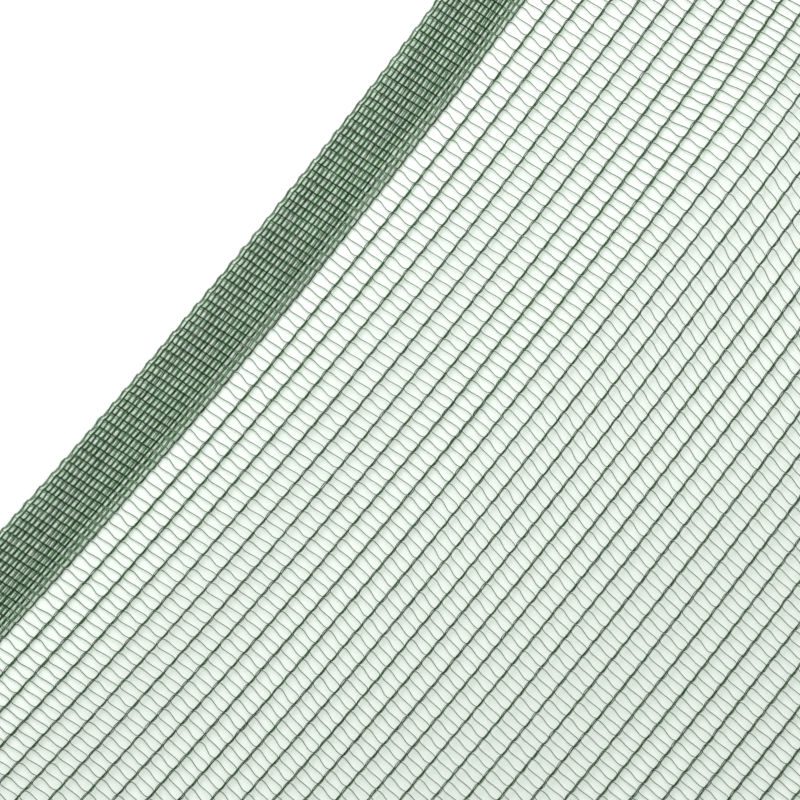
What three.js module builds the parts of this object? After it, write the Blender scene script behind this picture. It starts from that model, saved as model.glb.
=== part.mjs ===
// Hail net: a cut length of green raschel net with its knitted selvedge, laid out on a flat surface.
// The cloth is one solid with a low fold along its middle. The chain-stitch lines that run along it
// stand up as ribs, and the mesh between them is filled.
// Millimetres, +Z up. +Y runs along the chain-stitch lines and +X from the selvedge to the cut side.
// The origin is on the surface that the cloth lies on, under the middle of the cloth's box.

import * as THREE from "three";

// Knit
const needlePitch = 1.4;
const needlesPerCell = 5;
const cellWidth = needlePitch * needlesPerCell;
const selvedgeChains = 16;
const selvedgeMargin = 0.65;
const lastChain = selvedgeMargin + (selvedgeChains - 1) * needlePitch;
const meshCells = 30;
const cutFringe = 1.2;
const halfLength = 171;

// Thickness
const meshThickness = 1;
const meshRib = 0.45;
const selvedgeThickness = 1.3;
const selvedgeRib = 0.3;
const ribHalfWidth = 1.3;

// Lie of the cloth in plan, by the distance across from the selvedge's edge
const straightAcross = 64.4;
const bendRate = 0.0251;
const fanRate = 0.0077;
const laidSpread = 0.991;
const farSpread = 0.077;
const farSpreadStart = 124;
const farSpreadReach = 44;
const foldDraw = 0.03;
const foldDrawAt = 108;
const foldDrawReach = 12;

// Courses lean a little forward next to the selvedge, and back past the fold
const nearLean = -4.4;
const nearLeanStart = 5;
const nearLeanRise = 51;
const leanPeak = 23.2;
const leanPeakGrowth = 0.0286;
const leanStart = 73;
const leanStartDrift = 0.158;
const leanRise = 42.5;
const leanTop = 85;
const leanTopDrift = 0.25;
const leanDecay = 88;

// A patch near the upper end where the courses lean the other way
const ripple = { across: 81.5, along: 126, lean: -11.7, acrossReach: 11, alongReach: 28 };

// Low folds: the line that each follows across the cloth, and its height and half width there
const folds = [
  { across: 109, drift: 0.08, height: 0.7, growth: 0.002, halfWidth: 38 },
  { across: 58, drift: -0.04, height: 0.5, growth: -0.001, halfWidth: 32 },
  { across: 162, drift: 0.14, height: 1, growth: -0.003, halfWidth: 46 },
  { across: 205, drift: -0.1, height: 0.6, growth: 0.001, halfWidth: 28 },
];

// Grid
const rowStep = 19;
const sumStep = 2;
const selvedgeSpans = 3;

const radians = Math.PI / 180;

const smooth = (value) => {
  const x = Math.min(1, Math.max(0, value));
  return x * x * (3 - 2 * x);
};

// The width of the plan that a strip of cloth takes, as a share of its own width
function spreadAt(across) {
  const dip = foldDraw * Math.exp(-(((across - foldDrawAt) / foldDrawReach) ** 2));
  return laidSpread - dip + farSpread * smooth((across - farSpreadStart) / farSpreadReach);
}

// The angle that the courses make with a square course, in degrees
function leanAt(across, along) {
  const rise = smooth((across - leanStart - leanStartDrift * along) / leanRise);
  const past = Math.max(0, across - leanTop - leanTopDrift * along);
  const off = ((across - ripple.across) / ripple.acrossReach) ** 2
    + ((along - ripple.along) / ripple.alongReach) ** 2;
  return (leanPeak + leanPeakGrowth * along) * rise * Math.exp(-past / leanDecay)
    + nearLean * smooth((across - nearLeanStart) / nearLeanRise)
    + ripple.lean * Math.exp(-off);
}

// A cosine hump across each fold's line
function heightAt(across, along) {
  let height = 0;
  for (const fold of folds) {
    const off = (across - fold.across - fold.drift * along) / fold.halfWidth;
    if (Math.abs(off) < 1) {
      height += (fold.height + fold.growth * along) * 0.5 * (1 + Math.cos(Math.PI * off));
    }
  }
  return height;
}

// Sum of a function's values over small steps from the selvedge's edge
function summedAcross(across, value) {
  const steps = Math.max(1, Math.round(across / sumStep));
  const step = across / steps;
  let sum = 0;
  for (let i = 0; i < steps; i += 1) {
    sum += value((i + 0.5) * step) * step;
  }
  return sum;
}

// Where a point of the flat cloth lies: x, y and the height of its underside
function place(across, along) {
  const planAcross = summedAcross(across, spreadAt);
  const leanShift = summedAcross(across, (a) => Math.tan(leanAt(a, along) * radians));
  const bend = radians * (0.5 * bendRate * along ** 2 + fanRate * (planAcross - straightAcross) * along);
  return new THREE.Vector3(planAcross - bend, along - leanShift, heightAt(across, along));
}

// Columns of the upper face, a list of the distance across and the thickness there
function upperColumns() {
  const columns = [{ across: 0, thickness: selvedgeThickness }];
  for (let i = 0; i < selvedgeChains; i += 1) {
    const across = selvedgeMargin + i * needlePitch;
    columns.push({ across, thickness: selvedgeThickness + selvedgeRib });
    const last = i === selvedgeChains - 1;
    columns.push({
      across: across + (last ? ribHalfWidth : needlePitch / 2),
      thickness: last ? meshThickness : selvedgeThickness,
    });
  }
  for (let i = 1; i <= meshCells; i += 1) {
    const across = lastChain + i * cellWidth;
    columns.push({ across: across - ribHalfWidth, thickness: meshThickness });
    columns.push({ across, thickness: meshThickness + meshRib });
    columns.push({ across: across + (i < meshCells ? ribHalfWidth : cutFringe), thickness: meshThickness });
  }
  return columns;
}

// Columns of the underside: a few under the selvedge, one under each mesh line and one at the cut side
function lowerColumns() {
  const columns = [];
  for (let i = 0; i <= selvedgeSpans; i += 1) {
    columns.push((lastChain * i) / selvedgeSpans);
  }
  for (let i = 1; i <= meshCells; i += 1) {
    columns.push(lastChain + i * cellWidth);
  }
  columns.push(lastChain + meshCells * cellWidth + cutFringe);
  return columns;
}

// Triangles that join two rows of points between the same ends, walking along both in step
function joinRows(first, firstAt, second, secondAt) {
  const triangles = [];
  let i = 0;
  let j = 0;
  while (i < first.length - 1 || j < second.length - 1) {
    const stepFirst = j === second.length - 1
      || (i < first.length - 1 && firstAt[i + 1] <= secondAt[j + 1]);
    if (stepFirst) {
      triangles.push(first[i], first[i + 1], second[j]);
      i += 1;
    } else {
      triangles.push(first[i], second[j + 1], second[j]);
      j += 1;
    }
  }
  return triangles;
}

// The closed sheet: an upper face with ribs, a smooth underside and four edges
function clothGeometry() {
  const upper = upperColumns();
  const lower = lowerColumns();
  const rows = 2 * Math.round(halfLength / rowStep) + 1;
  const alongAt = (row) => -halfLength + (2 * halfLength * row) / (rows - 1);
  const positions = [];
  const triangles = [];
  const addPoint = (point) => positions.push(point.x, point.y, point.z) / 3 - 1;

  const upperPoints = [];
  const lowerPoints = [];
  for (let row = 0; row < rows; row += 1) {
    upperPoints.push(upper.map(({ across, thickness }) => {
      const point = place(across, alongAt(row));
      point.z += thickness;
      return addPoint(point);
    }));
    lowerPoints.push(lower.map((across) => addPoint(place(across, alongAt(row)))));
  }

  const addGrid = (points, faceUp) => {
    for (let row = 0; row < rows - 1; row += 1) {
      for (let column = 0; column < points[row].length - 1; column += 1) {
        const a = points[row][column];
        const b = points[row][column + 1];
        const c = points[row + 1][column + 1];
        const d = points[row + 1][column];
        triangles.push(...(faceUp ? [a, b, c, a, c, d] : [a, c, b, a, d, c]));
      }
    }
  };
  addGrid(upperPoints, true);
  addGrid(lowerPoints, false);

  // The two cut ends, and then the selvedge's edge and the cut side
  const upperAt = upper.map((column) => column.across);
  triangles.push(...joinRows(lowerPoints[0], lower, upperPoints[0], upperAt));
  triangles.push(...joinRows(upperPoints[rows - 1], upperAt, lowerPoints[rows - 1], lower));
  for (let row = 0; row < rows - 1; row += 1) {
    const nearUpper = [upperPoints[row][0], upperPoints[row + 1][0]];
    const nearLower = [lowerPoints[row][0], lowerPoints[row + 1][0]];
    triangles.push(nearUpper[0], nearUpper[1], nearLower[0], nearLower[0], nearUpper[1], nearLower[1]);
    const farUpper = [upperPoints[row].at(-1), upperPoints[row + 1].at(-1)];
    const farLower = [lowerPoints[row].at(-1), lowerPoints[row + 1].at(-1)];
    triangles.push(farUpper[0], farLower[0], farUpper[1], farLower[0], farLower[1], farUpper[1]);
  }

  const geometry = new THREE.BufferGeometry();
  geometry.setAttribute("position", new THREE.Float32BufferAttribute(positions, 3));
  geometry.setIndex(triangles);
  geometry.computeBoundingBox();
  const middle = geometry.boundingBox.getCenter(new THREE.Vector3());
  geometry.translate(-middle.x, -middle.y, 0);
  return geometry;
}

const net = new THREE.Mesh(
  clothGeometry(),
  new THREE.MeshStandardMaterial({ color: 0x3f6f4a, roughness: 0.45, metalness: 0 }),
);
net.name = "hail_net";

const model = new THREE.Group();
model.add(net);

export default model;
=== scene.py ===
"""Hail net: a cut length of green knitted net with its dense selvedge, laid out on a pale floor.

Every thread is a tube that follows its path in the knit. The paths are worked out in the flat
cloth, across from the selvedge's edge and along the chain-stitch lines, and are then placed where
the cloth lies, over the same low folds as the construction model. Metres, +Z up.
"""

import logging
import math
from dataclasses import astuple, dataclass, field
from enum import Enum

import bpy
import mathutils
import numpy as np
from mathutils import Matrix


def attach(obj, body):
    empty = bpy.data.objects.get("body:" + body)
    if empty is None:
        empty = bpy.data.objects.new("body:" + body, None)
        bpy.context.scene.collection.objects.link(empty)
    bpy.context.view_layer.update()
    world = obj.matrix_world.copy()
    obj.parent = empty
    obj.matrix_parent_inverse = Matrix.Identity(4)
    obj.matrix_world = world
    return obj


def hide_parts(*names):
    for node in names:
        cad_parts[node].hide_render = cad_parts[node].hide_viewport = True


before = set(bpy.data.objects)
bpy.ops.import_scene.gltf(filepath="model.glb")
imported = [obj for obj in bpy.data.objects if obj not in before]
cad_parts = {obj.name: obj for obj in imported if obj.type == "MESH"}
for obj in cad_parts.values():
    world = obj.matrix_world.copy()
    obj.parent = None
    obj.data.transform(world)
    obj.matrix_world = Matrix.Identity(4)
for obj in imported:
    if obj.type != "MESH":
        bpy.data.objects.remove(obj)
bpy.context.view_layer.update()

NODE = "hail_net"
BODY = "root"
SEED = 1181
MM = 0.001

log = logging.getLogger("hail_net")


def smooth_step(value: np.ndarray) -> np.ndarray:
    """Rise from 0 to 1 as the value goes from 0 to 1, level at both ends.

    Args:
        value: numbers of any size.

    Returns:
        3 times the square less 2 times the cube of the value, held between 0 and 1.
    """
    held = np.clip(value, 0.0, 1.0)
    return held * held * (3.0 - 2.0 * held)


def zigzag(value: np.ndarray) -> np.ndarray:
    """Triangle wave: 1 at even whole numbers and -1 at odd ones, straight between them.

    Args:
        value: numbers of any size.

    Returns:
        The wave at each value.
    """
    return 2.0 * np.abs(np.mod(value, 2.0) - 1.0) - 1.0


@dataclass(frozen=True)
class Knit:
    """Sizes of the knitted structure.

    Attributes:
        needle: distance between neighbouring chains of the selvedge.
        cell_needles: needles from one chain of the mesh to the next.
        course: distance from one course to the next, along the chains.
        chains: chains in the selvedge, with the strong one at its inner side.
        margin: from the selvedge's edge to its first chain.
        cells: cells across the mesh.
        courses: courses along the length, an even number.
        slant: how far the selvedge's courses run along for each step across.
        thread: radius of the filament.
    """

    needle: float = 1.4 * MM
    cell_needles: int = 5
    course: float = 2.73 * MM
    chains: int = 16
    margin: float = 0.65 * MM
    cells: int = 30
    courses: int = 124
    slant: float = 0.105
    thread: float = 0.15 * MM

    @property
    def cell(self) -> float:
        """Width of a cell."""
        return self.needle * self.cell_needles

    @property
    def last_chain(self) -> float:
        """How far across the selvedge's inner chain stands."""
        return self.margin + (self.chains - 1) * self.needle

    @property
    def half_length(self) -> float:
        """Half of the cloth's length."""
        return self.courses * self.course / 2.0

    def mesh_chain(self, number: np.ndarray) -> np.ndarray:
        """How far across a chain of the mesh stands; number 0 is the selvedge's inner chain."""
        return self.last_chain + number * self.cell

    def rows(self, extra: int = 0, every: int = 1) -> np.ndarray:
        """Numbers of the courses, counted from the middle of the length.

        Args:
            extra: courses past the far end.
            every: 1 for all the courses, 2 for every other one.

        Returns:
            The numbers in order.
        """
        return np.arange(-self.courses // 2, self.courses // 2 + extra, every)


@dataclass(frozen=True)
class Fold:
    """A low fold of the cloth: a cosine hump along a line.

    Attributes:
        across: where the line crosses the middle of the length.
        drift: how far the line moves across for each step along.
        height: height of the hump at the middle of the length.
        growth: gain in height for each step along.
        half_width: from the line to where the hump ends.
    """

    across: float
    drift: float
    height: float
    growth: float
    half_width: float

    def lift(self, across: np.ndarray, along: np.ndarray) -> np.ndarray:
        """Height of the hump at points of the flat cloth.

        Args:
            across: distances from the selvedge's edge.
            along: distances along the chains from the middle.

        Returns:
            Half the hump's height times one plus the cosine of the share of the half width.
        """
        off = np.clip((across - self.across - self.drift * along) / self.half_width, -1.0, 1.0)
        return (self.height + self.growth * along) * 0.5 * (1.0 + np.cos(math.pi * off))


@dataclass
class Lie:
    """How the flat cloth lies on the floor, the same way as the construction model's sheet.

    Places are distances across, and a drift is how far a place moves across for each step along.

    Attributes:
        knit: the sizes of the cloth.
        straight: distance across, in plan, at which the chains run straight.
        bend_rate: degrees that the chains turn for each metre along.
        fan_rate: degrees that they turn for each metre across, at a metre along.
        laid_spread: width of the plan that a strip of cloth takes, as a share of its own.
        far_spread: gain of that share from far_start on, over far_reach.
        fold_draw: loss of that share at fold_draw_at, over fold_draw_reach.
        near_lean: degrees that the courses lean past near_lean_start, over near_lean_rise.
        lean_peak: degrees that they lean past lean_start, over lean_rise.
        lean_growth: gain of these for each metre along.
        lean_top: where that lean starts to fade, over lean_decay.
        ripple_lean: degrees that they lean in a patch at ripple_across and ripple_along.
        folds: the low folds.
        step, along_step: steps of the table of the summed lean.
        spare_across, spare_along: how far the table reaches past the cloth's sides and ends.
        cut_fringe: from the last chain to the cut side.
        end_share, end_rows: reach of the box that sets the middle, and its rows of points.
    """

    knit: Knit
    straight: float = 64.4 * MM
    bend_rate: float = 25.1
    fan_rate: float = 7.7
    laid_spread: float = 0.991
    far_spread: float = 0.077
    far_start: float = 124 * MM
    far_reach: float = 44 * MM
    fold_draw: float = 0.03
    fold_draw_at: float = 108 * MM
    fold_draw_reach: float = 12 * MM
    near_lean: float = -4.4
    near_lean_start: float = 5 * MM
    near_lean_rise: float = 51 * MM
    lean_peak: float = 23.2
    lean_growth: float = 28.6
    lean_start: float = 73 * MM
    lean_start_drift: float = 0.158
    lean_rise: float = 42.5 * MM
    lean_top: float = 85 * MM
    lean_top_drift: float = 0.25
    lean_decay: float = 88 * MM
    ripple_across: float = 81.5 * MM
    ripple_along: float = 126 * MM
    ripple_lean: float = -11.7
    ripple_across_reach: float = 11 * MM
    ripple_along_reach: float = 28 * MM
    folds: tuple[Fold, ...] = (
        Fold(109 * MM, 0.08, 0.7 * MM, 0.002, 38 * MM),
        Fold(58 * MM, -0.04, 0.5 * MM, -0.001, 32 * MM),
        Fold(162 * MM, 0.14, 1.0 * MM, -0.003, 46 * MM),
        Fold(205 * MM, -0.1, 0.6 * MM, 0.001, 28 * MM),
    )
    step: float = 1 * MM
    along_step: float = 2 * MM
    spare_across: tuple[float, float] = (2 * MM, 4 * MM)
    spare_along: tuple[float, float] = (6 * MM, 8 * MM)
    cut_fringe: float = 1.2 * MM
    end_share: float = 1.01
    end_rows: int = 61
    _across: np.ndarray = field(init=False)
    _along: np.ndarray = field(init=False)
    _plan: np.ndarray = field(init=False)
    _shift: np.ndarray = field(init=False)
    _middle: np.ndarray = field(init=False)

    def __post_init__(self) -> None:
        """Sum the spread and the lean over small steps across, and find the middle of the cloth."""
        far, half = self.knit.mesh_chain(self.knit.cells), self.knit.half_length
        low, high = self.spare_across
        self._across = np.arange(-low, far + high, self.step)
        low, high = self.spare_along
        self._along = np.arange(-half - low, half + high, self.along_step)
        middle = self._across[:-1] + self.step / 2
        start = int(np.argmin(np.abs(self._across)))
        plan = np.concatenate([[0.0], np.cumsum(self._spread(middle) * self.step)])
        self._plan = plan - plan[start]
        lean = np.tan(np.radians(self._lean(middle[:, None], self._along[None, :])))
        sums = np.cumsum(lean * self.step, axis=0)
        shift = np.concatenate([np.zeros((1, len(self._along))), sums])
        self._shift = shift - shift[start]
        self._middle = np.zeros(3)
        sides = np.array([0.0, far + self.cut_fringe])
        ends = np.linspace(-1.0, 1.0, self.end_rows) * half * self.end_share
        across, along = np.meshgrid(sides, ends)
        flat = self.place(across, along, np.zeros(across.shape)).reshape(-1, 3)
        self._middle = np.array([*(flat.min(0) + flat.max(0))[:2] / 2.0, 0.0])

    def _spread(self, across: np.ndarray) -> np.ndarray:
        """Width of the plan that a strip of cloth takes, as a share of its own width.

        Args:
            across: distances from the selvedge's edge.

        Returns:
            A level share, less a bell curve at the fold, with a smooth step up to the far part.
        """
        dip = self.fold_draw * np.exp(-(((across - self.fold_draw_at) / self.fold_draw_reach) ** 2))
        far = smooth_step((across - self.far_start) / self.far_reach)
        return self.laid_spread - dip + self.far_spread * far

    def _lean(self, across: np.ndarray, along: np.ndarray) -> np.ndarray:
        """Degrees between the courses and a square course.

        Args:
            across: distances from the selvedge's edge.
            along: distances along the chains from the middle of the length.

        Returns:
            A smooth step that fades past the fold, a small smooth step next to the selvedge, and a
            bell curve for the patch.
        """
        rise = across - self.lean_start - self.lean_start_drift * along
        rise = smooth_step(rise / self.lean_rise)
        past = np.maximum(0.0, across - self.lean_top - self.lean_top_drift * along)
        off = ((across - self.ripple_across) / self.ripple_across_reach) ** 2
        off = off + ((along - self.ripple_along) / self.ripple_along_reach) ** 2
        lean = (self.lean_peak + self.lean_growth * along) * rise * np.exp(-past / self.lean_decay)
        near = smooth_step((across - self.near_lean_start) / self.near_lean_rise)
        return lean + self.near_lean * near + self.ripple_lean * np.exp(-off)

    def place(self, across: np.ndarray, along: np.ndarray, up: np.ndarray) -> np.ndarray:
        """Where points of the flat cloth lie.

        In plan, the distance across is the summed spread less the bend of the chains, and the
        distance along is drawn back by the summed lean of the courses. The height is that of the
        folds and the point's own.

        Args:
            across: distances from the selvedge's edge.
            along: distances along the chains from the middle of the length.
            up: heights over the cloth's underside.

        Returns:
            Points in the frame, with x, y and z in the last axis.
        """
        # Every point is held just inside the last cell of the table
        last = np.array(self._shift.shape) - 1.001
        row = np.clip((across - self._across[0]) / self.step, 0, last[0])
        column = np.clip((along - self._along[0]) / self.along_step, 0, last[1])
        i, j = row.astype(int), column.astype(int)
        p, q = row - i, column - j
        table = self._shift
        near = table[i, j] * (1 - q) + table[i, j + 1] * q
        far = table[i + 1, j] * (1 - q) + table[i + 1, j + 1] * q
        shift = near * (1 - p) + far * p
        plan = np.interp(across, self._across, self._plan)
        turn = 0.5 * self.bend_rate * along**2 + self.fan_rate * (plan - self.straight) * along
        lift = sum(fold.lift(across, along) for fold in self.folds)
        point = np.stack([plan - np.radians(turn), along - shift, lift + up], axis=-1)
        return point - self._middle

    def floor_point(self, across: float, along: float) -> np.ndarray:
        """The point of the floor at a distance across and along, measured in plan."""
        return np.array([across, along, 0.0]) - self._middle


class Finish(Enum):
    """The filaments of the net, by their place in a piece's list of materials."""

    CHAIN = 0
    INLAY = 1
    FILL = 2
    # A pale tape whose colour is painted light: the lit floor seen between the selvedge's chains.
    PALE = 3


@dataclass
class Tubes:
    """Several threads of one kind, each a tube along its path.

    Attributes:
        paths: points of each thread, an array of threads by points by 3.
        radius: radius of the filament.
        finish: the filament's finish.
        tone: lightness of the filament along each thread, from 0 to 1, threads by points.
        breadth: width of the filament's section, as a share of its height.
        sides: sides of the tube.
    """

    paths: np.ndarray
    radius: float
    finish: Finish
    tone: np.ndarray
    breadth: float = 1.0
    sides: int = 4

    def rings(self) -> np.ndarray:
        """Points of the tubes: the path's point plus the radius times a turn of its two cross axes.

        Returns:
            An array of threads by points by sides by 3.
        """
        ahead = np.gradient(self.paths, axis=1)
        ahead /= np.linalg.norm(ahead, axis=-1, keepdims=True)
        aside = np.cross(ahead, [0.0, 0.0, 1.0])
        aside /= np.linalg.norm(aside, axis=-1, keepdims=True)
        above = np.cross(aside, ahead)
        angle = (np.arange(self.sides) + 0.5) * 2.0 * math.pi / self.sides
        wide, high = self.breadth * np.cos(angle)[:, None], np.sin(angle)[:, None]
        turn = wide * aside[:, :, None, :] + high * above[:, :, None, :]
        return self.paths[:, :, None, :] + self.radius * turn

    def walls(self) -> tuple[np.ndarray, np.ndarray]:
        """Four-cornered faces of the tubes' walls, from each side of a ring to that of the next.

        Returns:
            Point numbers of each face's corners, and their places on the surface: the share of the
            turn and the distance along the thread.
        """
        threads, points = self.paths.shape[:2]
        t, i, j = np.meshgrid(
            np.arange(threads), np.arange(points - 1), np.arange(self.sides), indexing="ij"
        )
        beside = (j + 1) % self.sides
        first = (t * points + i) * self.sides
        after = first + self.sides
        corners = np.stack([first + j, after + j, after + beside, first + beside], axis=-1)
        steps = np.linalg.norm(np.diff(self.paths, axis=1), axis=-1)
        length = np.concatenate([np.zeros((threads, 1)), np.cumsum(steps, axis=1)], axis=1)
        start, end = length[t, i], length[t, i + 1]
        share, next_share = j / self.sides, (j + 1) / self.sides
        u = np.stack([share, share, next_share, next_share], axis=-1)
        v = np.stack([start, end, end, start], axis=-1)
        return corners.reshape(-1, 4), np.stack([u, v], axis=-1).reshape(-1, 2)

    def ends(self) -> np.ndarray:
        """Faces that close both ends of each tube.

        Returns:
            Point numbers of the first ring in order and of the last in reverse.
        """
        threads, points = self.paths.shape[:2]
        first = np.arange(threads)[:, None] * points * self.sides
        ring = np.arange(self.sides)[None, :]
        last = first + (points - 1) * self.sides
        return np.concatenate([first + ring, last + ring[:, ::-1]])


@dataclass
class Piece:
    """A piece of the net: threads joined in one mesh.

    Attributes:
        name: the piece's name.
        flat: width and length of the cloth that the threads make, before it is laid.
        cover: share of that cloth which the threads cover.
        bundles: the threads.
    """

    name: str
    flat: tuple[float, float]
    cover: float
    bundles: list[Tubes] = field(default_factory=list)

    def build(self, materials: list[bpy.types.Material]) -> bpy.types.Object:
        """Args:
            materials: the materials, in the order of Finish.

        Returns:
            The finished object, at the origin.
        """
        vertices, loops, sizes, places, tones, finishes = [], [], [], [], [], []
        base = 0
        for tubes in self.bundles:
            ring = tubes.rings()
            walls, wall_places = tubes.walls()
            caps = tubes.ends()
            vertices.append(ring.reshape(-1, 3))
            loops += [(walls + base).ravel(), (caps + base).ravel()]
            sizes += [np.full(len(walls), 4), np.full(len(caps), tubes.sides)]
            places += [wall_places, np.zeros((caps.size, 2))]
            tones.append(np.repeat(tubes.tone.ravel(), tubes.sides))
            finishes.append(np.full(len(walls) + len(caps), tubes.finish.value))
            base += ring.size // 3
        mesh = bpy.data.meshes.new(self.name)
        self._fill(mesh, np.concatenate(vertices), np.concatenate(loops), np.concatenate(sizes))
        mesh.polygons.foreach_set("material_index", np.concatenate(finishes).astype(np.int32))
        layer = mesh.uv_layers.new(name="thread")
        layer.data.foreach_set("uv", np.concatenate(places).astype(np.float32).ravel())
        tone = mesh.attributes.new("tone", "FLOAT", "POINT")
        tone.data.foreach_set("value", np.concatenate(tones).astype(np.float32))
        for material in materials:
            mesh.materials.append(material)
        piece = bpy.data.objects.new(self.name, mesh)
        bpy.context.scene.collection.objects.link(piece)
        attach(piece, BODY)
        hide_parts(NODE)
        area = self.cover * self.flat[0] * self.flat[1]
        log.info("%s: %d triangles", self.name, int((np.concatenate(sizes) - 2).sum()))
        return piece

    @staticmethod
    def _fill(
        mesh: bpy.types.Mesh, vertices: np.ndarray, loops: np.ndarray, sizes: np.ndarray
    ) -> None:
        """Write points and faces into an empty mesh.

        Args:
            mesh: the mesh.
            vertices: its points.
            loops: the point number of every face's corners, face after face.
            sizes: how many corners each face has.
        """
        mesh.vertices.add(len(vertices))
        mesh.vertices.foreach_set("co", vertices.astype(np.float32).ravel())
        mesh.loops.add(len(loops))
        mesh.loops.foreach_set("vertex_index", loops.astype(np.int32))
        mesh.polygons.add(len(sizes))
        starts = np.concatenate([[0], np.cumsum(sizes)[:-1]])
        mesh.polygons.foreach_set("loop_start", starts.astype(np.int32))
        mesh.polygons.foreach_set("use_smooth", np.ones(len(sizes), bool))
        mesh.update(calc_edges=True)


@dataclass(frozen=True)
class Yarn:
    """One kind of thread in the knit.

    Attributes:
        finish: its filament.
        thickness: its radius, as a share of the usual filament's.
        height: how high it lies over the cloth's underside, in radii of the usual filament.
        tone: its lightness, from 0 to 1.
        uneven: spread of the lightness.
        breadth: width of its section, as a share of the height.
    """

    finish: Finish
    thickness: float = 1.0
    height: float = 0.0
    tone: float = 0.5
    uneven: float = 0.16
    breadth: float = 1.0


@dataclass
class Fabric:
    """Knitted cloth, laid out.

    Attributes:
        knit: the sizes of the knit.
        lie: how the cloth lies.
        rng: the source of unevenness.
    """

    knit: Knit
    lie: Lie
    rng: np.random.Generator

    def drifting(self, lines: int, points: np.ndarray, step: float) -> np.ndarray:
        """Slow random drift along lines: values at knots, joined by smooth steps.

        Args:
            lines: how many lines there are.
            points: places along a line, the same for all of them.
            step: the distance between two knots.

        Returns:
            An array of lines by points, with a spread of about 1.
        """
        place = (points - points.min()) / step
        knots = self.rng.normal(size=(lines, int(place.max()) + 3))
        below = place.astype(int)
        blend = smooth_step(place - below)
        return knots[:, below] * (1.0 - blend) + knots[:, below + 1] * blend

    def shades(
        self, yarn: Yarn, shape: tuple[int, ...], extra: np.ndarray | float = 0.0
    ) -> np.ndarray:
        """Lightness of stretches of a thread: its own tone, an extra and an uneven part.

        Args:
            yarn: the kind of thread.
            shape: how many stretches there are, by axis.
            extra: what is added to the tone.

        Returns:
            The lightness of each stretch.
        """
        return yarn.tone + extra + yarn.uneven * self.rng.normal(size=shape)

    def lay(self, yarn: Yarn, *parts: np.ndarray | float) -> Tubes:
        """Lay threads where the cloth lies.

        The parts are stretched to one shape. Its first axis counts the threads, and the others are
        strung together along each of them.

        Args:
            yarn: the kind of thread.
            parts: distances across and along, heights and lightness at the threads' points.

        Returns:
            The threads.
        """
        *points, tone = (part.reshape(len(part), -1) for part in np.broadcast_arrays(*parts))
        radius = yarn.thickness * self.knit.thread
        return Tubes(self.lie.place(*points), radius, yarn.finish, tone, yarn.breadth)


@dataclass(frozen=True)
class Stitch:
    """Path of the filament through one stitch of a chain.

    The filament comes up through the stitch before, runs up one leg, round the head, down the
    other leg, back through, and up behind to the next stitch.

    Attributes:
        across: the distance across, in half widths of the chain.
        along: the distance along, in courses.
        height: the height, in filament diameters.
    """

    across: tuple[float, ...] = (0.0, -0.6, -1.0, -1.0, -0.75, -0.3, 0.3, 0.75, 1.0, 1.0, 0.6)
    along: tuple[float, ...] = (-0.1, 0.05, 0.3, 0.7, 0.97, 1.1, 1.1, 0.97, 0.7, 0.3, 0.05)
    height: tuple[float, ...] = (0.5, 2.1, 2.5, 2.4, 2.1, 1.7, 1.7, 2.1, 2.4, 2.5, 2.1)


class Swing(Enum):
    """How the stitches of a chain stand."""

    ZIGZAG = "every stitch slants, to the left and to the right by turns"
    BOWED = "every other stitch slants to the left, and the rest bow to the right"


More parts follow.
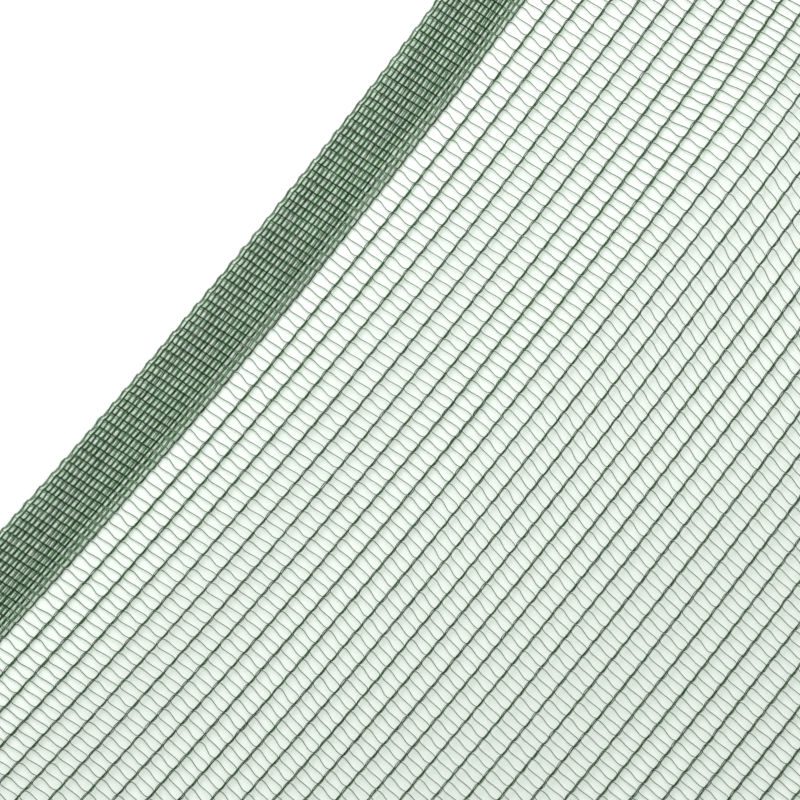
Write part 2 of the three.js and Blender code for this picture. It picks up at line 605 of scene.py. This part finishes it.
@dataclass
class Chain(Fabric):
    """Chains of stitches that run along the cloth.

    Attributes:
        half_width: from a chain's middle to the middle of a leg.
        sway, swing: how far the chain's middle swings to each side, and which stitches slant.
        patchy: how much wider the stitches are in tight patches, as a share.
        rise: height of the stitches, as a share of that of loose ones.
        yarn: the thread; each chain gives its own tone.
        lag: how far up a stitch a zigzag turns back, in courses.
        bow: how far a bowed stitch stands out, as a share of the sway.
        uneven_width: spread of the stitches' width, as a share.
        patch_length, patch_painted_shade: courses between tight patches, and how much darker they
            are painted as shade.
        drift, drift_length: how far a chain strays from its line, and courses between its turns.
        tilt: how far single stitches lean.
        turn_shade: how much the bulging chain's stitches differ in lightness, by turns.
        stitch: the path of a stitch.
    """

    half_width: float
    sway: float
    swing: Swing
    patchy: float
    rise: float = 1.0
    yarn: Yarn = Yarn(Finish.CHAIN)
    lag: float = 0.55
    bow: float = 1.3
    uneven_width: float = 0.12
    patch_length: float = 6.0
    patch_painted_shade: float = 1.2
    drift: float = 0.06 * MM
    drift_length: float = 9.0
    tilt: float = 0.07 * MM
    turn_shade: float = 0.4
    stitch: Stitch = Stitch()

    def _offset(self, course: np.ndarray, share: np.ndarray) -> np.ndarray:
        """How far the chain's middle stands from its line, as a share of the sway.

        Args:
            course: the stitches' numbers.
            share: places along a stitch, in courses.

        Returns:
            A triangle wave, or a slope on the even stitches and a half sine on the odd ones.
        """
        if self.swing is Swing.ZIGZAG:
            return zigzag(course + share - self.lag)
        bowed = self.bow * np.sin(math.pi * np.clip(share, 0.0, 1.0))
        return np.where(course % 2 == 0, 1.0 - 2.0 * share, bowed)

    def tubes(
        self,
        across: np.ndarray,
        slant: np.ndarray,
        bulge: np.ndarray,
        swing: np.ndarray,
        breadth: np.ndarray,
        tone: np.ndarray,
    ) -> Tubes:
        """Threads of several chains.

        A point's distance across is that of the chain and of the stitch's path times its width,
        with the chain's swing and drift and the stitch's tilt. Its distance along is its course's.

        Args:
            across: how far across each chain stands.
            slant: how far along each chain's courses are shifted.
            bulge: how much further each chain leans out at the head of its slanting stitches.
            swing: each chain's sway, as a share of the usual one.
            breadth: each chain's width, as a share of the usual one.
            tone: lightness of each chain's filament, from 0 to 1.

        Returns:
            The threads, one for each chain.
        """
        knit = self.knit
        course = knit.rows()
        shape = (len(across), len(course))
        path, share, height = (np.array(part) for part in astuple(self.stitch))
        patch = self.drifting(shape[0] + 2, course.astype(float), self.patch_length)
        patch = (patch[:-2] + patch[1:-1] + patch[2:]) / math.sqrt(3.0)
        uneven = 1.0 + self.uneven_width * self.rng.normal(size=shape) + self.patchy * patch
        width = (self.half_width * breadth[:, None] * uneven)[..., None]
        offset = self._offset(course[None, :, None], share)
        moved = self.sway * swing[:, None, None] * offset
        moved = moved + bulge[:, None, None] * np.minimum(offset, 0.0)
        stray = self.drifting(shape[0], course.astype(float), self.drift_length)[..., None]
        lean = self.tilt * self.rng.normal(size=shape)[..., None] * (share - 0.5)
        x = across[:, None, None] + width * path + moved + self.drift * stray + lean
        y = (course[None, :, None] + share) * knit.course + slant[:, None, None]
        z = knit.thread * (1.0 + self.rise * (2.0 * height - 1.0))
        turn = self.turn_shade * np.where(course % 2 == 0, -1.0, 1.0) * np.sign(bulge)[:, None]
        shade = self.yarn.uneven * self.rng.normal(size=shape)
        # Tight patches are painted darker: painted shade of puckers in the band, on top of their
        # wider stitches.
        shade = shade - self.patch_painted_shade * self.patchy * patch + tone[:, None] + turn
        return self.lay(self.yarn, x, y, z, shade[..., None])


@dataclass(frozen=True)
class Rung:
    """Path of the laid-in thread from one chain across to the next.

    On the even courses the thread runs back as the mirror image, because it climbs inside the
    chain that it has reached.

    Attributes:
        across: the distance across, as a share of the cell.
        climb: the distance along, in courses.
    """

    across: tuple[float, ...] = (0.0, 0.014, 0.07, 0.18, 0.32, 0.5, 0.68, 0.82, 0.93, 0.986)
    climb: tuple[float, ...] = (-0.5, -0.14, -0.02, 0.0, 0.0, 0.0, 0.0, 0.0, 0.02, 0.14)


@dataclass
class Mesh(Fabric):
    """The open mesh between the selvedge and the cut side.

    Attributes:
        panels: columns of cells in each piece.
        swell, sag: height of the S that a rung makes, and how far its middle hangs along.
        back_swell: swell of the rungs that run back, as a share of the others'.
        hook, hook_at: how far these dip beside the chain, and where, as a share of the cell.
        near_gain, near_cells: how much more the rungs swell by the selvedge, and over what cells.
        uneven: spread of the swell, the sag and the dip, as shares of them.
        hook_range: least and most of the dip, as shares of it.
        half_width: from a chain's middle to the middle of a leg.
        sway: how far the chains swing to each side, course by course.
        patchy: how much wider their stitches are in tight patches, as a share.
        cover: share of the cloth that the threads cover.
        rung, rung_yarn, chain_yarn: the path of a rung, and the threads.
    """

    panels: tuple[int, ...] = (8, 8, 7, 7)
    swell: float = 0.23 * MM
    sag: float = 0.08 * MM
    back_swell: float = -0.28
    hook: float = 0.12 * MM
    hook_at: float = 0.17
    near_gain: float = 0.5
    near_cells: float = 2.5
    uneven: tuple[float, float, float] = (0.3, 0.5, 0.4)
    hook_range: tuple[float, float] = (0.2, 2.0)
    half_width: float = 0.25 * MM
    sway: float = -0.17 * MM
    patchy: float = 0.05
    cover: float = 0.4
    rung: Rung = Rung()
    rung_yarn: Yarn = Yarn(Finish.INLAY, 1.05, 2.7, 0.5, 0.15)
    chain_yarn: Yarn = Yarn(Finish.CHAIN, 1.1, tone=0.9)

    def _rungs(self, cells: np.ndarray) -> Tubes:
        """Laid-in threads of several columns of cells.

        A thread crosses its cell on each course, and climbs to the next one inside the chain. Its
        crossing is a full sine wave for the S and a half one for the sag. The dip is the share of
        the way to its deepest place times the exponential of one less that share.

        Args:
            cells: numbers of the columns, 0 next to the selvedge.

        Returns:
            The threads, one for each column.
        """
        knit, yarn = self.knit, self.rung_yarn
        course = knit.rows(extra=1)
        share, climb = np.array(self.rung.across), np.array(self.rung.climb)
        shape = (len(cells), len(course), 1)
        back = ((course + 1) % 2)[None, :, None]
        u = np.where(back, 1.0 - share, share)
        spread = [part * self.rng.normal(size=shape) for part in self.uneven]
        near = 1.0 + self.near_gain * np.exp(-cells / self.near_cells)[:, None, None]
        swell = self.swell * near * (1.0 + spread[0]) * np.where(back, self.back_swell, 1.0)
        sag = self.sag * (1.0 + spread[1])
        hook = self.hook * near**2 * np.clip(1.0 + spread[2], *self.hook_range) * back
        x = knit.mesh_chain(cells)[:, None, None] + u * knit.cell
        y = course[None, :, None] * knit.course + climb * knit.course
        y = y + swell * np.sin(2 * math.pi * u) - sag * np.sin(math.pi * u)
        y = y - hook * (u / self.hook_at) * np.exp(1.0 - u / self.hook_at)
        return self.lay(yarn, x, y, yarn.height * knit.thread, self.shades(yarn, shape))

    def pieces(self) -> list[Piece]:
        """The mesh in panels.

        Returns:
            One piece for each panel.
        """
        knit = self.knit
        form = (self.half_width, self.sway, Swing.ZIGZAG, self.patchy)
        chain = Chain(knit, self.lie, self.rng, *form, yarn=self.chain_yarn)
        made = []
        first = 0
        for number, columns in enumerate(self.panels):
            cells = np.arange(first, first + columns)
            none, full = np.zeros(columns), np.ones(columns)
            chains = chain.tubes(
                knit.mesh_chain(cells + 1), none, none, full, full, self.chain_yarn.tone * full
            )
            bundles = [chains, self._rungs(cells)]
            flat = (columns * knit.cell, 2 * knit.half_length)
            made.append(Piece(f"mesh_panel_{number + 1}", flat, self.cover, bundles))
            first += columns
        return made


@dataclass
class Selvedge(Fabric):
    """The dense band along one side, with a chain on every needle.

    Attributes:
        half_width: from a chain's middle to the middle of a leg.
        sway: how far the chains swing to each side, course by course.
        swings: numbers of some chains, and their shares of the sway.
        edge_sway: how much further the outer chain leans out.
        patchy: how much wider the stitches are in tight patches, as a share.
        rise: height of the chains, as a share of that of loose ones.
        offsets: numbers of some chains, and how many millimetres they stand off their needles.
        breadths, tones: each chain's width, as a share of the usual one, and its lightness.
        chains_in_piece: chains in each of the two pieces.
        dense: how far across the dark threads on the courses reach.
        dense_start: where these start, in needles.
        pair_gap: between the two threads laid in on a course.
        course_wave, course_lift: how far they wave along, and up in radii of the filament.
        wave_length: points of such a thread from one turn to the next.
        odd_light: how much lighter they are on the odd courses.
        beside, beside_chains: from these chains to the thread close beside each.
        between: from a chain to the tape in the middle of the gap, its pale colour painted light.
        wander, uneven_lean: how far these threads and tapes lean, and its spread as a share.
        climb: places of their points along a course.
        hook_at: how far up a course the hooks cross.
        hook_step, hook_short: needles from point to point of a hook, and those left free.
        hook_wave, hook_lift: how far it waves along, and up in radii of the filament.
        uneven_hook: spread of its wave, as a share.
        edge_across, edge_along: path round the edge, in millimetres across and courses along.
        uneven_edge: spread of how far out it goes, as a share.
        edge_chain, edge_thread, thread, tape, hook, dark_course, grey_course: the yarns.
        chain_cover, inlay_cover, course_cover: shares of the band that the threads cover.
    """

    half_width: float = 0.19 * MM
    sway: float = 0.14 * MM
    swings: tuple[tuple[float, ...], ...] = ((0, 3, 5, 12, 13), (1.0, 1.0, 0.4, 0.4, 0.9))
    edge_sway: float = 0.07 * MM
    patchy: float = 0.18
    rise: float = 0.55
    offsets: tuple[tuple[float, ...], ...] = (
        (0, 1, 4, 5, 7, 8, 11, 12, 14, 15),
        (-0.25, -0.49, -0.41, -0.24, -0.18, -0.08, -0.06, -0.18, -0.19, 0.0),
    )
    breadths: tuple[float, ...] = (
        0.6, 0.8, 0.9, 1.0, 1.3, 1.1, 1.4, 1.0, 1.2, 1.5, 1.1, 1.5, 1.0, 1.0, 1.3, 1.2,
    )
    tones: tuple[float, ...] = (
        0.6, 0.6, 0.5, 0.6, 0.0, 0.1, 0.4, 0.2, 0.0, 1.3, 0.1, 1.2, 0.1, 0.2, 1.3, 0.3,
    )
    chains_in_piece: int = 8
    dense: float = 17.7 * MM
    dense_start: float = 0.7
    pair_gap: float = 0.24 * MM
    course_wave: float = 0.08 * MM
    course_lift: float = 0.4
    wave_length: float = 2.0
    odd_light: float = 0.15
    beside: float = 0.46 * MM
    beside_chains: tuple[int, ...] = (3, 5, 6, 10, 11, 13)
    between: float = 0.72 * MM
    wander: float = 0.16 * MM
    uneven_lean: float = 0.12
    climb: tuple[float, ...] = (0.0, 0.35, 0.7)
    hook_at: float = 0.72
    hook_step: float = 0.3
    hook_short: float = 1.9
    hook_wave: float = 0.22 * MM
    uneven_hook: float = 0.4
    hook_lift: float = 0.5
    edge_across: tuple[float, ...] = (0.2, -0.3, -0.6, -0.45, 0.1, 0.35)
    edge_along: tuple[float, ...] = (0.0, 0.15, 0.55, 0.95, 1.3, 1.7)
    uneven_edge: float = 0.15
    edge_chain: Yarn = Yarn(Finish.INLAY)
    edge_thread: Yarn = Yarn(Finish.INLAY, 1.0, 2.6, 0.9, 0.1)
    thread: Yarn = Yarn(Finish.FILL, 0.85, 1.7, 0.5, 0.3)
    # Pale tape in each gap: its colour is painted light, standing for the lit floor seen between
    # the chains.
    tape: Yarn = Yarn(Finish.PALE, 0.5, 1.1, 0.5, 0.3, 7.0)
    hook: Yarn = Yarn(Finish.FILL, 0.9, 1.9, 0.3, 0.3)
    dark_course: Yarn = Yarn(Finish.CHAIN, 1.1, 4.4, 0.05, 0.1)
    grey_course: Yarn = Yarn(Finish.INLAY, 1.1, 4.4, 0.7, 0.1)
    chain_cover: float = 1.0
    inlay_cover: float = 0.9
    course_cover: float = 0.36

    def _slant(self, across: np.ndarray) -> np.ndarray:
        """How far the courses are shifted along, so that they slope up to the mesh."""
        return self.knit.slant * (across - self.knit.last_chain)

    def _across(self, chains: np.ndarray) -> np.ndarray:
        """How far across the chains stand; each is a little off its needle."""
        off = np.interp(chains, self.offsets[0], np.array(self.offsets[1]) * MM)
        return self.knit.margin + chains * self.knit.needle + off

    def _courses(self, low: float, high: float, yarn: Yarn) -> Tubes:
        """Threads laid in across the chains, two close ones on each course.

        Each is a straight line across with a small wave of its own.

        Args:
            low: where the threads start.
            high: where they end.
            yarn: the kind of thread.

        Returns:
            The threads.
        """
        knit = self.knit
        course = knit.rows(extra=1)
        side = np.repeat([-self.pair_gap / 2, self.pair_gap / 2], len(course))[:, None]
        course = np.tile(course, 2)[:, None]
        points = int(round((high - low) / knit.needle)) * 2 + 1
        place = np.arange(points, dtype=float)
        x = np.linspace(low, high, points)
        wave = self.course_wave * self.drifting(len(course), place, self.wave_length)
        y = course * knit.course + side + wave + self._slant(x)
        lift = self.course_lift * self.drifting(len(course), place, self.wave_length)
        z = knit.thread * (yarn.height + lift)
        light = np.where(course % 2 == 0, 0.0, self.odd_light)
        return self.lay(yarn, x, y, z, self.shades(yarn, course.shape, light))

    def _hooks(self) -> Tubes:
        """Threads that cross under the heads of the stitches, from chain to chain.

        Each is a sine wave, one turn to a needle, along a line across the band.

        Returns:
            The threads.
        """
        knit, yarn = self.knit, self.hook
        course = (knit.rows() + self.hook_at)[:, None]
        needles = np.arange(0.0, knit.chains - self.hook_short, self.hook_step)
        turn = 2.0 * math.pi * needles
        shape = (len(course), len(needles))
        x = knit.margin + needles * knit.needle
        uneven = 1.0 + self.uneven_hook * self.rng.normal(size=shape)
        y = course * knit.course + self.hook_wave * np.sin(turn) * uneven + self._slant(x)
        z = knit.thread * (yarn.height + self.hook_lift * np.cos(turn))
        return self.lay(yarn, x, y, z, self.shades(yarn, shape))

    def _between(self, chains: np.ndarray, apart: float, yarn: Yarn) -> Tubes:
        """Threads, or pale flat tapes of painted light, that climb in the gaps between the chains.

        Each leans to and from its chain, course by course, as a triangle wave.

        Args:
            chains: numbers of the chains at the left of the gaps.
            apart: from the chain to the thread.
            yarn: the kind of thread.

        Returns:
            The threads, one for each gap.
        """
        knit = self.knit
        row = knit.rows()[None, :, None] + np.array(self.climb)
        shape = (len(chains), row.shape[1], 1)
        lean = 0.5 - 0.5 * zigzag(row) + self.uneven_lean * self.rng.normal(size=shape)
        x = self._across(chains)[:, None, None] + apart + self.wander * (lean - 0.5)
        y = row * knit.course + self._slant(x)
        return self.lay(yarn, x, y, yarn.height * knit.thread, self.shades(yarn, shape))

    def _edge(self) -> Tubes:
        """The thread that turns round the outer chain, out and back on every other course.

        Returns:
            The one thread.
        """
        knit, yarn = self.knit, self.edge_thread
        course = knit.rows(every=2)[:, None]
        out = np.array(self.edge_across) * MM
        x = knit.margin + out * (1.0 + self.uneven_edge * self.rng.normal(size=course.shape))
        y = (course + np.array(self.edge_along)) * knit.course + self._slant(x)
        shade = self.shades(yarn, x.shape)
        return self.lay(yarn, x[None], y[None], yarn.height * knit.thread, shade[None])

    def pieces(self) -> list[Piece]:
        """The band: two pieces of chains, one of the threads between them and one of the courses.

        Returns:
            The four pieces.
        """
        knit = self.knit
        edge, inner, length = knit.margin, knit.last_chain, 2 * knit.half_length
        form = (self.half_width, self.sway, Swing.BOWED, self.patchy, self.rise)
        chain = Chain(knit, self.lie, self.rng, *form)
        outer_chain = Chain(knit, self.lie, self.rng, *form, yarn=self.edge_chain)
        made = []
        for number, name in enumerate(("selvedge_outer", "selvedge_inner")):
            chains = number * self.chains_in_piece + np.arange(self.chains_in_piece)
            across = self._across(chains)
            rows = (
                across,
                self._slant(across),
                np.where(chains == 0, self.edge_sway, 0.0),
                np.interp(chains, *self.swings),
                np.array(self.breadths)[chains],
                np.array(self.tones)[chains],
            )
            bundles = [chain.tubes(*(values[chains > 0] for values in rows))]
            if number == 0:
                bundles.append(outer_chain.tubes(*(values[:1] for values in rows)))
                bundles.append(self._edge())
            flat = (self.chains_in_piece * knit.needle, length)
            made.append(Piece(name, flat, self.chain_cover, bundles))
        inlay = [
            self._between(np.array(self.beside_chains), self.beside, self.thread),
            # The tapes in the gaps carry painted light: a pale colour for the lit floor between the
            # chains.
            self._between(np.arange(knit.chains - 1), self.between, self.tape),
            self._hooks(),
        ]
        band = (inner - edge, length)
        made.append(Piece("selvedge_inlay", band, self.inlay_cover, inlay))
        start = edge + self.dense_start * knit.needle
        courses = [
            self._courses(start, self.dense, self.dark_course),
            self._courses(self.dense, inner, self.grey_course),
        ]
        made.append(Piece("selvedge_courses", band, self.course_cover, courses))
        return made


@dataclass
class Number:
    """A number on a shader's socket, with the arithmetic that adds Math nodes.

    Attributes:
        tree: the shader's nodes.
        socket: the output that gives the number.
    """

    tree: bpy.types.NodeTree
    socket: bpy.types.NodeSocket

    def _with(self, operation: str, first: object, second: object) -> "Number":
        """Add a Math node.

        Args:
            operation: the node's operation.
            first: its first value, a Number or a plain number.
            second: its second value.

        Returns:
            The node's result.
        """
        node = self.tree.nodes.new("ShaderNodeMath")
        node.operation = operation
        for place, value in enumerate((first, second)):
            if isinstance(value, Number):
                self.tree.links.new(value.socket, node.inputs[place])
            else:
                node.inputs[place].default_value = value
        return Number(self.tree, node.outputs[0])

    def __add__(self, other: object) -> "Number":
        """Sum."""
        return self._with("ADD", self, other)

    def __mul__(self, other: object) -> "Number":
        """Product."""
        return self._with("MULTIPLY", self, other)

    def __sub__(self, other: object) -> "Number":
        """Difference."""
        return self._with("SUBTRACT", self, other)

    def __rsub__(self, other: object) -> "Number":
        """Difference from a plain number."""
        return self._with("SUBTRACT", other, self)

    __radd__ = __add__
    __rmul__ = __mul__

    def held(self) -> "Number":
        """The number held between 0 and 1."""
        return self._with("MINIMUM", self._with("MAXIMUM", self, 0.0), 1.0)


class Paint:
    """A material under construction."""

    def __init__(self, name: str) -> None:
        """Start a material with its Principled shader.

        Args:
            name: the material's name.
        """
        self.material = bpy.data.materials.new(name)
        self.material.use_nodes = True
        self.tree = self.material.node_tree
        self.shader = self.tree.nodes["Principled BSDF"]

    def node(
        self, kind: str, settings: dict[str, object], sockets: dict[str, object]
    ) -> bpy.types.Node:
        """Add a node.

        Args:
            kind: the node's type.
            settings: its own settings.
            sockets: values or links of its inputs, by name.

        Returns:
            The node.
        """
        made = self.tree.nodes.new(kind)
        for name, value in settings.items():
            setattr(made, name, value)
        for name, value in sockets.items():
            self._give(made.inputs[name], value)
        return made

    def _give(self, socket: bpy.types.NodeSocket, value: object) -> None:
        """Set an input to a value, or link it to a Number or an output.

        Args:
            socket: the input.
            value: what it is given.
        """
        if isinstance(value, Number):
            self.tree.links.new(value.socket, socket)
        elif isinstance(value, bpy.types.NodeSocket):
            self.tree.links.new(value, socket)
        else:
            socket.default_value = value

    def number(self, socket: bpy.types.NodeSocket) -> Number:
        """Wrap an output for arithmetic."""
        return Number(self.tree, socket)

    def noise(self, vector: bpy.types.NodeSocket, scale: float, detail: float) -> Number:
        """Add a noise texture.

        Args:
            vector: the places that it reads.
            scale: turns of the noise for each unit.
            detail: how many finer layers it has.

        Returns:
            The noise, from 0 to 1.
        """
        sockets = {"Vector": vector, "Scale": scale, "Detail": detail}
        return self.number(self.node("ShaderNodeTexNoise", {}, sockets).outputs["Fac"])

    def blend(
        self, share: Number, low: tuple[float, ...], high: tuple[float, ...]
    ) -> bpy.types.NodeSocket:
        """Colour between two colours.

        Args:
            share: 0 for the first colour and 1 for the second.
            low: the first colour.
            high: the second colour.

        Returns:
            The output with the colour.
        """
        mix = self.node("ShaderNodeMix", {"data_type": "RGBA"}, {"Factor": share})
        # A Mix node's colour sockets share their names with those for numbers and vectors
        colours = {socket.identifier: socket for socket in (*mix.inputs, *mix.outputs)}
        self._give(colours["A_Color"], (*low, 1.0))
        self._give(colours["B_Color"], (*high, 1.0))
        return colours["Result_Color"]

    def finish(self, **values: object) -> bpy.types.Material:
        """Set the shader's sockets.

        Args:
            values: what each socket is given, by its name with underscores for spaces.

        Returns:
            The finished material.
        """
        for name, value in values.items():
            self._give(self.shader.inputs[name.replace("_", " ")], value)
        return self.material


@dataclass(frozen=True)
class Filament:
    """Finish of a drawn polyethylene filament.

    Attributes:
        name: the material's name.
        dark: colour of the darkest stretches.
        light: colour of the lightest.
        roughness: lowest roughness.
        clearness: share of the light that goes through.
        mottle: scale and detail of the slow mottle, and its share in the colour.
        grain: the same of the fine mottle.
        dulling: gain in roughness over the fine mottle.
        lines: scale of the drawing lines round the thread and along it.
        relief: strength and height of the drawing lines.
        glare: how strongly the surface mirrors.
        bending: index of refraction.
    """

    name: str
    dark: tuple[float, float, float]
    light: tuple[float, float, float]
    roughness: float
    clearness: float
    mottle: tuple[float, float, float] = (260.0, 3.0, 0.9)
    grain: tuple[float, float, float] = (2400.0, 2.0, 0.3)
    dulling: float = 0.25
    lines: tuple[float, float, float] = (9.0, 400.0, 1.0)
    relief: tuple[float, float] = (0.35, 0.02 * MM)
    glare: float = 0.22
    bending: float = 1.5

    def material(self) -> bpy.types.Material:
        """Make the material.

        The colour follows the thread's own tone and a slow mottle, the roughness a finer one, and
        drawing lines along the thread stand up as bump.

        Returns:
            The material.
        """
        paint = Paint(self.name)
        place = paint.node("ShaderNodeTexCoord", {}, {}).outputs
        own = paint.node("ShaderNodeAttribute", {"attribute_name": "tone"}, {}).outputs["Fac"]
        patch = paint.noise(place["Object"], *self.mottle[:2])
        grain = paint.noise(place["Object"], *self.grain[:2])
        stretch = paint.node("ShaderNodeMapping", {}, {"Vector": place["UV"], "Scale": self.lines})
        lines = paint.noise(stretch.outputs["Vector"], 1.0, 2.0)
        tone = paint.number(own) + (patch - 0.5) * self.mottle[2] + (grain - 0.5) * self.grain[2]
        relief = {"Height": lines, "Strength": self.relief[0], "Distance": self.relief[1]}
        return paint.finish(
            Base_Color=paint.blend(tone.held(), self.dark, self.light),
            Roughness=grain * self.dulling + self.roughness,
            Normal=paint.node("ShaderNodeBump", {}, relief).outputs["Normal"],
            Transmission_Weight=self.clearness,
            Specular_IOR_Level=self.glare,
            IOR=self.bending,
        )


FILAMENTS = {
    Finish.CHAIN: Filament("chain_filament", (0.006, 0.04, 0.007), (0.065, 0.15, 0.067), 0.3, 0.25),
    Finish.INLAY: Filament("inlay_filament", (0.1, 0.15, 0.1), (0.25, 0.32, 0.25), 0.3, 0.3),
    Finish.FILL: Filament("fill_filament", (0.08, 0.24, 0.09), (0.24, 0.52, 0.26), 0.3, 0.4),
    # Nearly white green: painted light for the lit floor seen between the selvedge's chains.
    Finish.PALE: Filament("painted_light_filament", (0.78, 0.93, 0.78), (0.92, 1.0, 0.92), 0.3, 0.05),
}


@dataclass(frozen=True)
class Lamp:
    """A round soft light that faces the middle of the picture.

    Attributes:
        name: the light's name.
        aside: how far to the picture's right it stands, as a share of the distance.
        ahead: how far up the picture.
        high: how far over the floor.
        distance: distance from the middle of the picture.
        size: its diameter.
        power: its power in watts.
        colour: its colour.
    """

    name: str
    aside: float
    ahead: float
    high: float
    distance: float
    size: float
    power: float
    colour: tuple[float, float, float]

    def put(self, middle: np.ndarray, right: np.ndarray, up: np.ndarray) -> None:
        """Add the light to the scene.

        Args:
            middle: the middle of the picture, on the floor.
            right: the picture's right.
            up: the picture's up.
        """
        toward = self.aside * right + self.ahead * up + np.array([0.0, 0.0, self.high])
        data = bpy.data.lights.new(self.name, "AREA")
        data.shape = "DISK"
        data.size = self.size
        data.energy = self.power
        data.color = self.colour
        lamp = bpy.data.objects.new(self.name, data)
        lamp.location = middle + toward * self.distance
        lamp.rotation_mode = "QUATERNION"
        lamp.rotation_quaternion = mathutils.Vector(toward).to_track_quat("Z", "Y")
        lamp.visible_camera = False
        bpy.context.scene.collection.objects.link(lamp)


@dataclass
class Studio:
    """Pale floor, soft light and the camera.

    Attributes:
        lie: how the cloth lies.
        view_width: width of the floor that the picture takes in.
        view_along: how far along its middle is.
        turn: angle of the chains above the picture's horizontal, in degrees.
        lens, sensor: focal length, long for an almost even view, and the sensor's width.
        floor_half, floor_colour, floor_roughness: half the floor's side, and its finish.
        sky_colour, sky_strength: the even light from all round.
        lamps: the soft lights.
    """

    lie: Lie
    view_width: float = 235.8 * MM
    view_along: float = -0.5 * MM
    turn: float = 51.2
    lens: float = 200.0
    sensor: float = 36.0
    floor_half: float = 20.0
    floor_colour: tuple[float, float, float] = (0.9, 0.905, 0.9)
    floor_roughness: float = 0.9
    sky_colour: tuple[float, float, float] = (0.87, 1.0, 0.87)
    sky_strength: float = 0.48
    lamps: tuple[Lamp, ...] = (
        Lamp("key", -0.277128, 0.822724, 0.5, 0.95, 0.7, 7.0, (1.0, 0.9, 1.0)),
        Lamp("overhead", -0.05, 0.16, 0.98, 1.05, 0.3, 4.6, (0.88, 1.0, 0.88)),
    )

    def _axes(self) -> tuple[np.ndarray, np.ndarray]:
        """The picture's right and up, on the floor.

        Returns:
            Right and up. The chains run at the turn above the right, so the right is turned back
            from +Y by the rest of a quarter turn.
        """
        angle = math.radians(self.turn)
        right = np.array([math.sin(angle), math.cos(angle), 0.0])
        up = np.array([-math.cos(angle), math.sin(angle), 0.0])
        return right, up

    def floor(self) -> None:
        """A wide pale floor just under the cloth."""
        mesh = bpy.data.meshes.new("floor")
        turns = ((-1, -1), (1, -1), (1, 1), (-1, 1))
        corners = [(x * self.floor_half, y * self.floor_half, 0.0) for x, y in turns]
        mesh.from_pydata(corners, [], [(0, 1, 2, 3)])
        finish = {"Base_Color": (*self.floor_colour, 1.0), "Roughness": self.floor_roughness}
        mesh.materials.append(Paint("pale_floor").finish(**finish))
        floor = bpy.data.objects.new("floor", mesh)
        bpy.context.scene.collection.objects.link(floor)

    def light(self) -> None:
        """Even light from all round, and soft lights from above and beyond the picture's top."""
        world = bpy.data.worlds.new("studio")
        world.use_nodes = True
        sky = world.node_tree.nodes["Background"]
        sky.inputs["Color"].default_value = (*self.sky_colour, 1.0)
        sky.inputs["Strength"].default_value = self.sky_strength
        bpy.context.scene.world = world
        for lamp in self.lamps:
            lamp.put(self.lie.floor_point(self.lie.straight, 0.0), *self._axes())

    def camera(self) -> None:
        """A camera straight above, turned so that the chains rise to the right."""
        centre = self.lie.floor_point(self.lie.straight, self.view_along)
        back = np.array([0.0, 0.0, 1.0])
        matrix = np.eye(4)
        matrix[:3, :3] = np.stack([*self._axes(), back], axis=1)
        matrix[:3, 3] = centre + back * self.view_width * self.lens / self.sensor
        data = bpy.data.cameras.new("camera")
        data.lens = self.lens
        data.sensor_width = self.sensor
        camera = bpy.data.objects.new("camera", data)
        camera.matrix_world = matrix.T.tolist()
        bpy.context.scene.collection.objects.link(camera)
        bpy.context.scene.camera = camera


def main() -> None:
    """Build the stage and the net."""
    logging.basicConfig(level=logging.INFO)
    bpy.context.scene.view_settings.view_transform = "Standard"
    knit = Knit()
    lie = Lie(knit)
    studio = Studio(lie)
    studio.camera()
    studio.floor()
    studio.light()
    materials = [FILAMENTS[finish].material() for finish in Finish]
    rng = np.random.default_rng(SEED)
    for piece in Selvedge(knit, lie, rng).pieces() + Mesh(knit, lie, rng).pieces():
        piece.build(materials)


if __name__ == "__main__":
    main()
